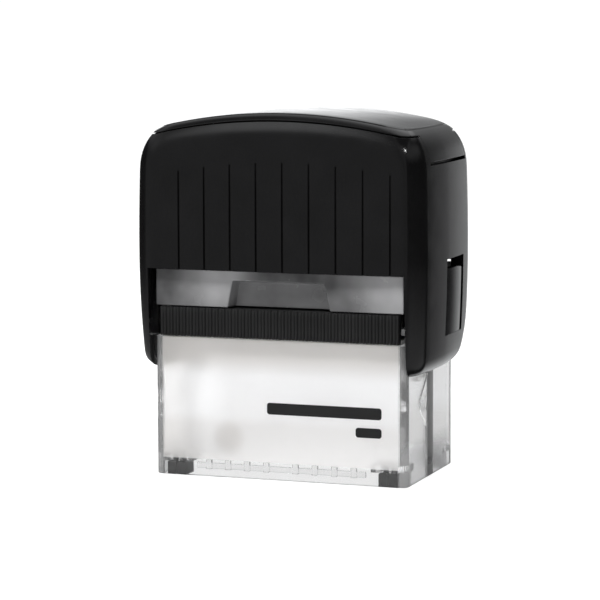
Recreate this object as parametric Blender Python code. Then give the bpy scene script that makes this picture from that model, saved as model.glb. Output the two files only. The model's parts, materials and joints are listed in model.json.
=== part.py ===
"""Self-inking stamp: clear base frame, black pressing cap, flipping die carriage, slide-out ink cassette.

Frame: origin at the middle of the footprint on the table, +X to the right, front face towards -Y, +Z up.
Lengths below are millimetres; everything is scaled to metres when the meshes are made.
The parts stand as at rest: cap up, carriage turned up against the ink pad, cassette pushed in.
"""
import math

import bmesh
import bpy
from mathutils import Matrix, Vector

MM = 0.001

# ---------------------------------------------------------------- driving dimensions
STROKE = 28.0            # travel of the cap
GAP = 0.3                # clearance between pieces that rest on each other

# cap shell outline
CAP_HALF_WIDTH = 39.3
CAP_HALF_DEPTH = 24.3
CAP_BOTTOM = 28.3
CAP_SHOULDER_TOP = 90.4  # height where the rounded shoulder meets the crowned top
CAP_WIDEST = 58.0
CAP_CORNER = 6.0
LOWER_BOW = {"side": 0.9, "front": 1.2, "rear": 0.9}
UPPER_BOW = {"side": 0.5, "front": 0.4, "rear": 0.4}
BOW_REACH = 27.0
SIDE_SHOULDER = (11.1, 6.0)     # height and inset of the elliptical rounding at the top
SIDE_SHOULDER_DROP = 11.0       # where that rounding starts, a touch short of its full height
END_SHOULDER = (9.0, 4.6)
SIDE_HEM = (4.0, 3.0)           # height and inset of the rounding at the bottom
FRONT_HEM = (3.0, 2.5)
REAR_HEM = (13.5, 10.2)
CAP_BULGE = 1.2          # plan bulge of the front and rear panels
CROWN = 4.0              # rise of the top from the shoulders to the middle
CROWN_HALF = 33.4
CROWN_START = 60.0
WALL = 2.1
ROOF = 4.6               # from the outer crown to the ceiling inside
ROOF_START = 82.0        # inner surfaces drop away from the outer ones above this height
SHOULDER_LINING = 2.3    # extra wall inside the shoulders, behind the bed of the top cover
LINING_START = 78.0
WINDOW_TOP = 54.3        # lower edge of the front panel
ARM_INNER = 34.6

# grooves of the front panel
GROOVE_COUNT = 9
GROOVE_PITCH = 7.08
GROOVE_MIDDLE = 2.7
GROOVE_WIDTH = 0.55
GROOVE_DEPTH = 0.75
GROOVE_TOP = 82.0
GROOVE_ARCH = 2.6        # how far the outer grooves end below the middle one

# top cover
COVER_THICK = 1.6
COVER_BOTTOM = 81.8
COVER_HALF_DEPTH = 19.6
COVER_SIDE_FRONT = 14.0
COVER_SIDE_REAR = 17.0
CARD_THICK = 0.4

# release tongues in the sides of the cap
TONGUE_FRONT = -0.9
TONGUE_REAR = 11.0
TONGUE_BOTTOM = 37.1
TONGUE_TOP = 54.2
SLOT_FRONT = -1.9
SLOT_REAR = 13.2
SLOT_TOP = 56.7

# base frame
BASE_HALF_WIDTH = 34.2
BASE_HALF_DEPTH = 20.0
BASE_INNER_X = 32.0
BASE_INNER_Y = 18.5
BASE_BOTTOM = 0.4
DECK_UNDER = 46.5
DECK_TOP = 48.0
DECK_FRONT = -14.6
FRONT_WALL_TOP = 36.4
AXLE_SLOT_HALF = 2.4
AXLE_SLOT_BOTTOM = 3.3
AXLE_SLOT_TOP = 36.3
CAM_FLOOR = 33.3         # depth of the cam recess in the side walls
CAM_ISLAND = [(-4.9, 19.8), (-2.5, 17.4), (-2.5, 22.2)]
RAIL_INNER = 30.4
RAIL_TOP = 39.9
RAIL_UNDER = 38.4
RAIL_END = 17.5
ROOT = 0.4               # how far ribs, rails and ledges reach into the wall they stand on
POST_RADIUS = 4.2
POST_TOP = 53.0

# feet
FOOT_X = (26.3, 31.4)
FOOT_Y = (12.6, 18.2)
FOOT_TOP = 3.5
STUD_TOP = 4.8
STUD_RADIUS = 0.9
STUD_X = (27.5, 30.2)
STUD_Y = 15.2
LEDGE_UNDER = 3.8
LEDGE_TOP = 5.6
LEDGE_INNER = 24.4
RIB_COUNT = 4            # upright ribs inside the front and rear walls, each side of the middle
RIB_FIRST = 4.0
RIB_PITCH = 5.25
RIB_WIDTH = 1.5
RIB_BACK = 17.7
RIB_UNDER = 2.1
RIB_TOP = 4.6
CURB_HALF = 23.0         # low curb that joins the ribs
CURB_BACK = 17.9
CURB_UNDER = 2.3
CURB_TOP = 3.7

# die carriage, measured from its axle
AXLE_Z = 33.8
AXLE_RADIUS = 2.1
FOLLOWER_ARM = 7.0
FOLLOWER_RADIUS = 1.0
CARRIAGE_HALF = 30.0
DIE_HALF_WIDTH = 29.0
DIE_HALF_DEPTH = 11.0
DIE_FACE = 5.5
CARRIAGE_HALF_DEPTH = 10.6
CARRIAGE_HALF_HEIGHT = 2.9
CUSHION = ((-28.8, 28.8), (-10.8, 10.8), (3.2, 3.9))
PLATE_Z = (4.2, 5.0)
RAISED_ROWS = ((7.0, 24.0), (2.5, 18.0), (-2.0, 21.0), (-6.5, 12.0))    # middle and half length of each row

# ink cassette
PAD_FACE = AXLE_Z + DIE_FACE + 0.5
TRAY_UNDER = 40.2
TRAY_TOP = 46.2
GRIP_UNDER = 36.7
GRIP_TOP = 44.2
GRIP_RIBS = 36
GRIP_HALF = 32.4
GRIP_BACK = -18.8
GRIP_VALLEY = -20.0
GRIP_FRONT = -20.6
TRAY_HALF = 31.6
TRAY_Y = (-14.7, 16.6)
PAD_HALF_X = 29.3
PAD_HALF_Y = 12.8
PAD_TOP = 44.4
FASCIA_TOP = 54.0
FASCIA_HALF = 33.5
FASCIA_FRONT = -20.3
FASCIA_BACK = -15.0
RECESS_FACE = -16.8
REAR_FASCIA_Y = (15.0, 20.2)

# return spring
SPRING_RADIUS = 6.6
SPRING_WIRE = 0.55
SPRING_TURNS = 7.5
SEAT_UNDER = 48.3
SEAT_TOP = 50.1
BOSS_UNDER = 82.5
BOSS_TOP = 89.4


# ---------------------------------------------------------------- helpers
def clear_scene():
    for item in list(bpy.data.objects):
        bpy.data.objects.remove(item, do_unlink=True)


def material(name, colour, roughness, metallic=0.0, transmission=0.0):
    made = bpy.data.materials.new(name)
    made.use_nodes = True
    shader = made.node_tree.nodes["Principled BSDF"]
    shader.inputs["Base Color"].default_value = (*colour, 1.0)
    shader.inputs["Roughness"].default_value = roughness
    shader.inputs["Metallic"].default_value = metallic
    shader.inputs["Transmission Weight"].default_value = transmission
    return made


def new_object(name, bm, finish=None, smooth_angle=35):
    """Turn a bmesh in millimetres into an object in metres."""
    bmesh.ops.recalc_face_normals(bm, faces=bm.faces)
    bmesh.ops.scale(bm, vec=(MM, MM, MM), verts=bm.verts)
    mesh = bpy.data.meshes.new(name)
    bm.to_mesh(mesh)
    bm.free()
    mesh.shade_smooth()
    mesh.set_sharp_from_angle(angle=math.radians(smooth_angle))
    made = bpy.data.objects.new(name, mesh)
    bpy.context.scene.collection.objects.link(made)
    if finish:
        mesh.materials.append(finish)
    return made


def hide(guide):
    guide.hide_render = True
    guide.display_type = "WIRE"
    return guide


def boolean(target, operation, other):
    step = target.modifiers.new(operation.lower() + "_" + other.name, "BOOLEAN")
    step.operation = operation
    step.solver = "EXACT"
    step.object = hide(other)
    return target


def add_box(bm, x, y, z):
    """Add a box spanning the ranges x, y and z, each a (low, high) pair."""
    size = Vector((x[1] - x[0], y[1] - y[0], z[1] - z[0]))
    middle = Vector((sum(x) / 2, sum(y) / 2, sum(z) / 2))
    place = Matrix.Translation(middle) @ Matrix.Diagonal((*size, 1.0))
    bmesh.ops.create_cube(bm, size=1.0, matrix=place)


def add_cylinder(bm, centre, radius, length, axis="Z", sides=16):
    turn = {"X": Matrix.Rotation(math.pi / 2, 4, "Y"), "Z": Matrix.Identity(4)}[axis]
    bmesh.ops.create_cone(bm, cap_ends=True, segments=sides, radius1=radius, radius2=radius,
                          depth=length, matrix=Matrix.Translation(centre) @ turn)


def boxes(name, spans, finish=None):
    bm = bmesh.new()
    for x, y, z in spans:
        add_box(bm, x, y, z)
    return new_object(name, bm, finish)


def prism(name, outline, low, high, plane="XY", finish=None):
    """Extrude a closed outline; plane XY goes up in z, XZ goes along y, YZ goes along x."""
    place = {"XY": lambda a, b, h: (a, b, h), "XZ": lambda a, b, h: (a, h, b),
             "YZ": lambda a, b, h: (h, a, b)}[plane]
    bm = bmesh.new()
    lower = [bm.verts.new(place(a, b, low)) for a, b in outline]
    upper = [bm.verts.new(place(a, b, high)) for a, b in outline]
    bm.faces.new(lower)
    bm.faces.new(upper)
    count = len(outline)
    for i in range(count):
        j = (i + 1) % count
        bm.faces.new((lower[i], lower[j], upper[j], upper[i]))
    return new_object(name, bm, finish)


def mirrored(span, side):
    """A span of |x| values on the right (side 1) or left (side -1)."""
    return tuple(sorted((side * span[0], side * span[1])))


def rounded_rectangle(half_x, half_y, radius, steps=3):
    points = []
    for quarter, (sx, sy) in enumerate(((1, 1), (-1, 1), (-1, -1), (1, -1))):
        for k in range(steps + 1):
            angle = math.pi / 2 * (quarter + k / steps)
            points.append((sx * (half_x - radius) + radius * math.cos(angle),
                           sy * (half_y - radius) + radius * math.sin(angle)))
    return points


# ---------------------------------------------------------------- shape of the cap
def quarter_inset(distance, ellipse):
    """Inset of an elliptical rounding, a given distance past its start."""
    height, width = ellipse
    t = min(max(distance / height, 0.0), 1.0)
    return width * (1.0 - math.sqrt(1.0 - t * t))


def bow(z, wall):
    """Slight inward bow of a wall away from its widest height."""
    reach = (z - CAP_WIDEST) / BOW_REACH
    amount = LOWER_BOW[wall] if z < CAP_WIDEST else UPPER_BOW[wall]
    return amount * reach * reach


def cap_half_width(z):
    inset = bow(z, "side")
    inset += quarter_inset(CAP_BOTTOM + SIDE_HEM[0] - z, SIDE_HEM)
    inset += quarter_inset(z - (CAP_SHOULDER_TOP - SIDE_SHOULDER_DROP), SIDE_SHOULDER)
    return CAP_HALF_WIDTH - inset


def cap_front(z):
    inset = bow(z, "front")
    inset += quarter_inset(CAP_BOTTOM + FRONT_HEM[0] - z, FRONT_HEM)
    inset += quarter_inset(z - (CAP_SHOULDER_TOP - END_SHOULDER[0]), END_SHOULDER)
    return CAP_HALF_DEPTH - inset


def cap_rear(z):
    inset = bow(z, "rear")
    inset += quarter_inset(CAP_BOTTOM + REAR_HEM[0] - z, REAR_HEM)
    inset += quarter_inset(z - (CAP_SHOULDER_TOP - END_SHOULDER[0]), END_SHOULDER)
    return CAP_HALF_DEPTH - inset


def crown(x, z):
    """Extra height of the arched top, fading out below the shoulders."""
    fade = min(max((z - CROWN_START) / (CAP_SHOULDER_TOP - CROWN_START), 0.0), 1.0)
    return CROWN * fade * max(1.0 - (x / CROWN_HALF) ** 2, 0.0)


BOTTOM_LEVELS = [CAP_BOTTOM + rise for rise in (0.0, 0.35, 1.1, 2.4, 4.0, 6.5, 9.5, 14.0, 20.0)]
TOP_LEVELS = [CAP_SHOULDER_TOP - drop for drop in (24.0, 14.0, 11.0, 7.5, 4.5, 2.4, 1.0, 0.25, 0.0)]
OUTER_LEVELS = BOTTOM_LEVELS + [CAP_WIDEST] + TOP_LEVELS
PANEL_STEPS = 10
CORNER_STEPS = 4


def plan_chain(half_width, depth, radius):
    """Left-to-right half outline of one panel with its two corners; y grows outward."""
    chain = []
    flat = half_width - radius
    for k in range(CORNER_STEPS + 1):
        angle = math.pi / 2 * k / CORNER_STEPS
        chain.append((-flat - radius * math.cos(angle), depth - radius + radius * math.sin(angle)))
    for k in range(1, PANEL_STEPS):
        chain.append((-flat + 2 * flat * k / PANEL_STEPS, depth))
    chain += [(-x, y) for x, y in reversed(chain[:CORNER_STEPS + 1])]
    return [(x, y - CAP_BULGE * (x / CAP_HALF_WIDTH) ** 2) for x, y in chain]


def cap_solid(name, levels, inset=0.0, roof=None, width_limit=None, depth_limit=None, finish=None):
    """Closed body of the cap's outline: walls set in by inset, top set in by roof."""
    roof = inset if roof is None else roof
    bm = bmesh.new()
    rings = []
    for z in levels:
        shape_z = max(z, CAP_BOTTOM)
        extra = SHOULDER_LINING if z > LINING_START and roof > inset > 0.0 else 0.0
        width = cap_half_width(shape_z) - inset - extra
        front = cap_front(shape_z) - inset
        rear = cap_rear(shape_z) - inset
        if width_limit:
            width = min(width, width_limit)
        if depth_limit:
            front = min(front, depth_limit)
            rear = min(rear, depth_limit)
        radius = 1.5 if width_limit else CAP_CORNER - inset
        lowered = z - roof * min(max((z - ROOF_START) / (CAP_SHOULDER_TOP - ROOF_START), 0.0), 1.0)
        ring = [(x, -y) for x, y in plan_chain(width, front, radius)]
        ring += plan_chain(width, rear, radius)[::-1]
        rings.append([bm.verts.new((x, y, lowered + crown(x, z))) for x, y in ring])
    half = len(rings[0]) // 2
    count = len(rings[0])
    for lower, upper in zip(rings, rings[1:]):
        for i in range(count):
            j = (i + 1) % count
            bm.faces.new((lower[i], lower[j], upper[j], upper[i]))
    for ring in (rings[0], rings[-1]):
        for i in range(half - 1):
            bm.faces.new((ring[i], ring[i + 1], ring[count - 2 - i], ring[count - 1 - i]))
    return new_object(name, bm, finish)


def cover_plan(clearance):
    """Plan outline of the top cover: full depth on top, narrower where it wraps the sides."""
    half = COVER_HALF_DEPTH - clearance
    front = COVER_SIDE_FRONT - clearance
    rear = COVER_SIDE_REAR - clearance
    reach = CAP_HALF_WIDTH + 2.0
    return [(reach, -front), (reach, rear), (35.0, rear), (32.0, half), (-32.0, half), (-35.0, rear),
            (-reach, rear), (-reach, -front), (-36.0, -front), (-32.0, -half), (32.0, -half), (36.0, -front)]


# ---------------------------------------------------------------- cap
def build_cap(finish):
    shell = cap_solid("cap_shell", OUTER_LEVELS, finish=finish)

    cavity_levels = [10.0] + OUTER_LEVELS[:10] + [66.4, 76.0, 79.0, 82.0, 85.0, 88.0, CAP_SHOULDER_TOP]
    wide = cap_solid("guide_arm_cavity", cavity_levels, WALL, ROOF, depth_limit=18.4)
    deep = cap_solid("guide_panel_cavity", cavity_levels, WALL, ROOF + 0.05, width_limit=ARM_INNER)
    boolean(shell, "DIFFERENCE", wide)
    boolean(shell, "DIFFERENCE", deep)

    windows = boxes("guide_windows", [((-ARM_INNER, ARM_INNER), (-30.0, 30.0), (5.0, WINDOW_TOP))])
    boolean(shell, "DIFFERENCE", windows)

    slots = boxes("guide_tongue_slots", [
        (mirrored((33.0, 45.0), side), (SLOT_FRONT, SLOT_REAR), (TONGUE_BOTTOM - GAP, SLOT_TOP))
        for side in (-1, 1)])
    boolean(shell, "DIFFERENCE", slots)

    grooves = []
    for k in range(GROOVE_COUNT):
        x = GROOVE_MIDDLE + GROOVE_PITCH * (k - (GROOVE_COUNT - 1) / 2)
        offset = (x - GROOVE_MIDDLE) / (GROOVE_PITCH * (GROOVE_COUNT - 1) / 2)
        top = GROOVE_TOP - GROOVE_ARCH * offset * offset
        surface = -CAP_HALF_DEPTH + CAP_BULGE * (x / CAP_HALF_WIDTH) ** 2
        grooves.append(((x - GROOVE_WIDTH / 2, x + GROOVE_WIDTH / 2),
                        (-30.0, surface + GROOVE_DEPTH), (WINDOW_TOP - 3.0, top)))
    boolean(shell, "DIFFERENCE", boxes("guide_grooves", grooves))

    recess = prism("guide_cover_recess", cover_plan(0.0), COVER_BOTTOM - 0.7, 110.0)
    kept = cap_solid("guide_cover_bed", OUTER_LEVELS, COVER_THICK + GAP,
                     COVER_THICK + CARD_THICK + 2 * GAP - 0.01)
    boolean(recess, "DIFFERENCE", kept)
    boolean(shell, "DIFFERENCE", recess)


def build_cover(cover_finish, card_finish):
    cover = cap_solid("top_cover", OUTER_LEVELS, finish=cover_finish)
    boolean(cover, "INTERSECT", prism("guide_cover_outline", cover_plan(GAP), COVER_BOTTOM, 110.0))
    inside = cap_solid("guide_cover_inside", [70.0] + OUTER_LEVELS[-8:], COVER_THICK, COVER_THICK + 0.01)
    boolean(cover, "DIFFERENCE", inside)

    card_top = COVER_THICK + GAP
    card = cap_solid("index_card", OUTER_LEVELS[-9:], card_top, card_top + 0.01, finish=card_finish)
    span = boxes("guide_card_outline", [((-30.0, 30.0), (-16.0, 16.0), (85.0, 110.0))])
    boolean(card, "INTERSECT", span)
    boolean(card, "DIFFERENCE", cap_solid("guide_card_inside", [70.0] + OUTER_LEVELS[-8:], card_top,
                                          card_top + CARD_THICK))


def build_tongues(finish):
    """Spring tongue in each side of the cap, hinged along its lower edge."""
    for side, name in ((-1, "left_release_tongue"), (1, "right_release_tongue")):
        bm = bmesh.new()
        rows = []
        steps = 6
        for k in range(steps + 1):
            z = TONGUE_BOTTOM + (TONGUE_TOP - TONGUE_BOTTOM) * k / steps
            outer = cap_half_width(z) - 0.1
            drop = 0.5 if k == steps else 0.0
            rows.append([bm.verts.new((side * x, y, z - (drop if y == TONGUE_REAR else 0.0)))
                         for x, y in ((outer, TONGUE_FRONT), (outer, TONGUE_REAR),
                                      (outer - 1.8, TONGUE_REAR), (outer - 1.8, TONGUE_FRONT))])
        for lower, upper in zip(rows, rows[1:]):
            for i in range(4):
                j = (i + 1) % 4
                bm.faces.new((lower[i], lower[j], upper[j], upper[i]))
        bm.faces.new(rows[0])
        bm.faces.new(rows[-1])
        new_object(name, bm, finish)


def build_axle_pins(finish):
    """Pins that carry the die carriage between the cap's two arms."""
    for side, name in ((-1, "left_axle_pin"), (1, "right_axle_pin")):
        bm = bmesh.new()
        add_cylinder(bm, (side * 31.4, 0, AXLE_Z), AXLE_RADIUS, 9.0, "X")
        pin = new_object(name, bm, finish)
        flange = bmesh.new()
        add_cylinder(flange, (side * 35.3, 0, AXLE_Z), 3.7, 1.0, "X")
        boolean(pin, "UNION", new_object("guide_" + name + "_flange", flange))


# ---------------------------------------------------------------- base
def follower_path(steps):
    """Path of the follower pins in the side walls, as (y, z) points over a full stroke."""
    points = []
    for k in range(steps + 1):
        t = k / steps
        points.append((-FOLLOWER_ARM * math.sin(math.pi * t),
                       AXLE_Z - STROKE * t - FOLLOWER_ARM * math.cos(math.pi * t)))
    return points


def cam_outline(path, half):
    """Outline of the cam recess: the follower path set out by half on its front side, closed in the slot."""
    front = []
    for i, (y, z) in enumerate(path):
        before = path[max(i - 1, 0)]
        after = path[min(i + 1, len(path) - 1)]
        run = Vector((after[0] - before[0], after[1] - before[1])).normalized()
        front.append((y + run.y * half, z - run.x * half))
    return front + [(1.0, front[-1][1]), (1.0, front[0][1])]


def axle_slot_outline():
    """Upright slot with round ends, as (y, z) points."""
    outline = []
    steps = 8
    lower = AXLE_SLOT_BOTTOM + AXLE_SLOT_HALF
    upper = AXLE_SLOT_TOP - AXLE_SLOT_HALF
    for centre, start in ((lower, math.pi), (upper, 0.0)):
        for k in range(steps + 1):
            angle = start + math.pi * k / steps
            outline.append((AXLE_SLOT_HALF * math.cos(angle), centre + AXLE_SLOT_HALF * math.sin(angle)))
    return outline


def build_base(finish):
    frame = prism("base_frame", rounded_rectangle(BASE_HALF_WIDTH, BASE_HALF_DEPTH, 2.0, steps=5),
                  BASE_BOTTOM, DECK_TOP, finish=finish)
    inner = (-BASE_INNER_X, BASE_INNER_X)
    boolean(frame, "DIFFERENCE", boxes("guide_base_cavity", [
        (inner, (-BASE_INNER_Y, BASE_INNER_Y), (-2.0, DECK_UNDER))]))
    boolean(frame, "DIFFERENCE", boxes("guide_cassette_opening", [
        ((-40.0, 40.0), (-25.0, DECK_FRONT), (FRONT_WALL_TOP, 60.0))]))

    recess = cam_outline(follower_path(12), FOLLOWER_RADIUS + GAP)
    for side, name in ((-1, "guide_left_cam"), (1, "guide_right_cam")):
        low, high = mirrored((31.0, CAM_FLOOR), side)
        boolean(frame, "DIFFERENCE", prism(name, recess, low, high, "YZ"))
        low, high = mirrored((BASE_INNER_X, CAM_FLOOR + 0.2), side)
        boolean(frame, "UNION", prism(name + "_island", CAM_ISLAND, low, high, "YZ"))

    additions = []
    for side in (-1, 1):
        additions.append((mirrored((RAIL_INNER, BASE_INNER_X + ROOT), side), (DECK_FRONT + GAP, RAIL_END),
                          (RAIL_UNDER, RAIL_TOP)))
        for end in (-1, 1):
            additions.append((mirrored((LEDGE_INNER, BASE_INNER_X + ROOT), side),
                              mirrored((FOOT_Y[0] - 0.2, BASE_INNER_Y + ROOT), end),
                              (LEDGE_UNDER, LEDGE_TOP)))
    boolean(frame, "UNION", boxes("guide_curbs", [
        ((-CURB_HALF, CURB_HALF), mirrored((CURB_BACK, BASE_INNER_Y + ROOT), end), (CURB_UNDER, CURB_TOP))
        for end in (-1, 1)]))
    for end in (-1, 1):
        for k in range(RIB_COUNT):
            for side in (-1, 1):
                x = side * (RIB_FIRST + RIB_PITCH * k)
                additions.append(((x - RIB_WIDTH / 2, x + RIB_WIDTH / 2),
                                  mirrored((RIB_BACK, BASE_INNER_Y + ROOT), end), (RIB_UNDER, RIB_TOP)))
    boolean(frame, "UNION", boxes("guide_base_additions", additions))

    studs = bmesh.new()
    for side in (-1, 1):
        for end in (-1, 1):
            for x in STUD_X:
                add_cylinder(studs, (side * x, end * STUD_Y, 4.5), STUD_RADIUS + GAP, 5.0, sides=8)
    boolean(frame, "DIFFERENCE", new_object("guide_stud_holes", studs))

    slot = axle_slot_outline()
    for side, name in ((-1, "guide_left_axle_slot"), (1, "guide_right_axle_slot")):
        low, high = mirrored((31.0, 36.0), side)
        boolean(frame, "DIFFERENCE", prism(name, slot, low, high, "YZ"))


def build_rear_fascia(finish):
    """Fixed panel on the rear edge of the deck, the counterpart of the cassette's front."""
    boxes("rear_fascia", [((-FASCIA_HALF, FASCIA_HALF), REAR_FASCIA_Y, (DECK_TOP + GAP, FASCIA_TOP))], finish)


def build_feet(finish):
    for side, left_right in ((-1, "left"), (1, "right")):
        for end, front_rear in ((-1, "front"), (1, "rear")):
            name = "foot_" + front_rear + "_" + left_right
            foot = boxes(name, [(mirrored(FOOT_X, side), mirrored(FOOT_Y, end), (0.0, FOOT_TOP))], finish)
            studs = bmesh.new()
            for x in STUD_X:
                add_cylinder(studs, (side * x, end * STUD_Y, (2.5 + STUD_TOP) / 2), STUD_RADIUS,
                             STUD_TOP - 2.5, sides=8)
            boolean(foot, "UNION", new_object("guide_" + name + "_studs", studs))


# ---------------------------------------------------------------- carriage and die
def build_carriage(body_finish, pin_finish, foam_finish, rubber_finish):
    z = AXLE_Z
    carriage = boxes("die_carriage", [
        ((-CARRIAGE_HALF, CARRIAGE_HALF), (-CARRIAGE_HALF_DEPTH, CARRIAGE_HALF_DEPTH),
         (z - CARRIAGE_HALF_HEIGHT, z + CARRIAGE_HALF_HEIGHT))], body_finish)
    tails = [(mirrored((28.2, CARRIAGE_HALF), side), (-2.2, 2.2), (z - FOLLOWER_ARM - 1.9, z - 2.0))
             for side in (-1, 1)]
    boolean(carriage, "UNION", boxes("guide_tail_plates", tails))
    boolean(carriage, "DIFFERENCE", boxes("guide_carriage_hollow", [
        ((-25.5, 25.5), (-9.0, 9.0), (z - 5.0, z + 1.0))]))
    bores = bmesh.new()
    for side in (-1, 1):
        add_cylinder(bores, (side * 29.0, 0, z), AXLE_RADIUS + GAP, 6.0, "X")
        add_cylinder(bores, (side * 29.0, 0, z - FOLLOWER_ARM), FOLLOWER_RADIUS + GAP, 6.0, "X", 12)
    boolean(carriage, "DIFFERENCE", new_object("guide_carriage_bores", bores))

    for side, name in ((-1, "left_cam_follower"), (1, "right_cam_follower")):
        bm = bmesh.new()
        add_cylinder(bm, (side * 30.4, 0, z - FOLLOWER_ARM), FOLLOWER_RADIUS, 5.0, "X", 12)
        new_object(name, bm, pin_finish)

    boxes("die_cushion", [(CUSHION[0], CUSHION[1], (z + CUSHION[2][0], z + CUSHION[2][1]))], foam_finish)
    plate = boxes("text_plate", [((-DIE_HALF_WIDTH, DIE_HALF_WIDTH), (-DIE_HALF_DEPTH, DIE_HALF_DEPTH),
                                  (z + PLATE_Z[0], z + PLATE_Z[1]))], rubber_finish)
    raised = []
    for row, half in RAISED_ROWS:
        raised.append(((-half, half), (row - 0.9, row + 0.9), (z + PLATE_Z[1] - 0.2, z + DIE_FACE)))
    boolean(plate, "UNION", boxes("guide_raised_rows", raised))


# ---------------------------------------------------------------- ink cassette
def build_cassette(black, glossy, felt):
    tray = boxes("cassette_tray", [((-TRAY_HALF, TRAY_HALF), TRAY_Y, (TRAY_UNDER, TRAY_TOP))], black)
    boolean(tray, "UNION", boxes("guide_tray_tongue", [
        ((-31.0, 31.0), (-18.4, -14.0), (TRAY_UNDER, GRIP_TOP - 0.1))]))
    pocket_x = PAD_HALF_X + GAP
    pocket_y = PAD_HALF_Y + GAP
    boolean(tray, "DIFFERENCE", boxes("guide_pad_pocket", [
        ((-pocket_x, pocket_x), (-pocket_y, pocket_y), (35.0, PAD_TOP + GAP))]))
    boxes("ink_pad", [((-PAD_HALF_X, PAD_HALF_X), (-PAD_HALF_Y, PAD_HALF_Y), (PAD_FACE, PAD_TOP))], felt)

    outline = [(GRIP_HALF, GRIP_BACK), (-GRIP_HALF, GRIP_BACK)]
    pitch = 2 * GRIP_HALF / GRIP_RIBS
    for k in range(GRIP_RIBS):
        x = -GRIP_HALF + pitch * k
        outline += [(x + 0.2, GRIP_VALLEY), (x + 0.5, GRIP_FRONT),
                    (x + pitch - 0.5, GRIP_FRONT), (x + pitch - 0.2, GRIP_VALLEY)]
    prism("cassette_grip", outline, GRIP_UNDER, GRIP_TOP, finish=black)

    fascia = boxes("cassette_fascia", [
        ((-FASCIA_HALF, FASCIA_HALF), (FASCIA_FRONT, FASCIA_BACK), (GRIP_TOP + GAP, FASCIA_TOP))], glossy)
    recess = [(-14.4, 40.0), (14.4, 40.0), (14.1, GRIP_TOP), (12.7, 51.7), (-12.7, 51.7), (-14.1, GRIP_TOP)]
    boolean(fascia, "DIFFERENCE", prism("guide_finger_recess", recess, -25.0, RECESS_FACE, "XZ"))


# ---------------------------------------------------------------- return spring
def build_spring(seat_finish, steel):
    """Return spring between a seat on the deck and a boss under the roof of the cap."""
    seat = bmesh.new()
    add_cylinder(seat, (0, 0, (SEAT_UNDER + SEAT_TOP) / 2), SPRING_RADIUS + 2.0,
                 SEAT_TOP - SEAT_UNDER, sides=24)
    ring = new_object("spring_seat", seat, seat_finish)
    post = bmesh.new()
    add_cylinder(post, (0, 0, (SEAT_UNDER + 0.5 + POST_TOP) / 2), POST_RADIUS, POST_TOP - SEAT_UNDER - 0.5)
    boolean(ring, "UNION", new_object("guide_spring_post", post))

    boss = bmesh.new()
    add_cylinder(boss, (0, 0, (BOSS_UNDER + BOSS_TOP) / 2), POST_RADIUS, BOSS_TOP - BOSS_UNDER)
    new_object("spring_boss", boss, seat_finish)

    low = SEAT_TOP + GAP + SPRING_WIRE
    high = CAP_SHOULDER_TOP + CROWN - ROOF - 1.0 - SPRING_WIRE
    curve = bpy.data.curves.new("return_spring", "CURVE")
    curve.dimensions = "3D"
    curve.bevel_depth = SPRING_WIRE * MM
    curve.bevel_resolution = 1
    curve.use_fill_caps = True
    per_turn = 14
    total = int(SPRING_TURNS * per_turn)
    line = curve.splines.new("POLY")
    line.points.add(total)
    for k, point in enumerate(line.points):
        angle = 2 * math.pi * k / per_turn
        point.co = (SPRING_RADIUS * math.cos(angle) * MM, SPRING_RADIUS * math.sin(angle) * MM,
                    (low + (high - low) * k / total) * MM, 1.0)
    curve.materials.append(steel)
    bpy.context.scene.collection.objects.link(bpy.data.objects.new("return_spring", curve))


# ---------------------------------------------------------------- whole stamp
def main():
    clear_scene()
    black = material("black_gloss", (0.012, 0.012, 0.014), 0.22)
    matte_black = material("black_matt", (0.015, 0.015, 0.016), 0.5)
    clear = material("clear_plastic", (0.92, 0.93, 0.95), 0.1, transmission=0.9)
    smoke = material("fascia_gloss", (0.25, 0.25, 0.26), 0.15)
    rubber = material("foot_rubber", (0.05, 0.05, 0.05), 0.7)
    die_rubber = material("die_rubber", (0.45, 0.44, 0.42), 0.75)
    foam = material("die_foam", (0.6, 0.6, 0.6), 0.9)
    felt = material("ink_felt", (0.02, 0.02, 0.03), 0.95)
    white = material("white_plastic", (0.8, 0.8, 0.8), 0.4)
    steel = material("spring_steel", (0.6, 0.6, 0.6), 0.3, metallic=1.0)
    paper = material("card_paper", (0.85, 0.85, 0.82), 0.8)

    build_base(clear)
    build_rear_fascia(smoke)
    build_feet(rubber)
    build_cap(black)
    build_cover(black, paper)
    build_tongues(black)
    build_axle_pins(white)
    build_carriage(white, white, foam, die_rubber)
    build_cassette(matte_black, smoke, felt)
    build_spring(white, steel)


main()
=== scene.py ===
"""Looks of a self-inking stamp: glossy black cap, clear base, smoked cassette front, rubber feet.

Frame: origin at the middle of the footprint, +X to the right, front towards -Y, +Z up.
Lengths are millimetres, turned into metres as each mesh is made.
"""

import json
import math

import bmesh
import bpy
from mathutils import Matrix, Vector


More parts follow.
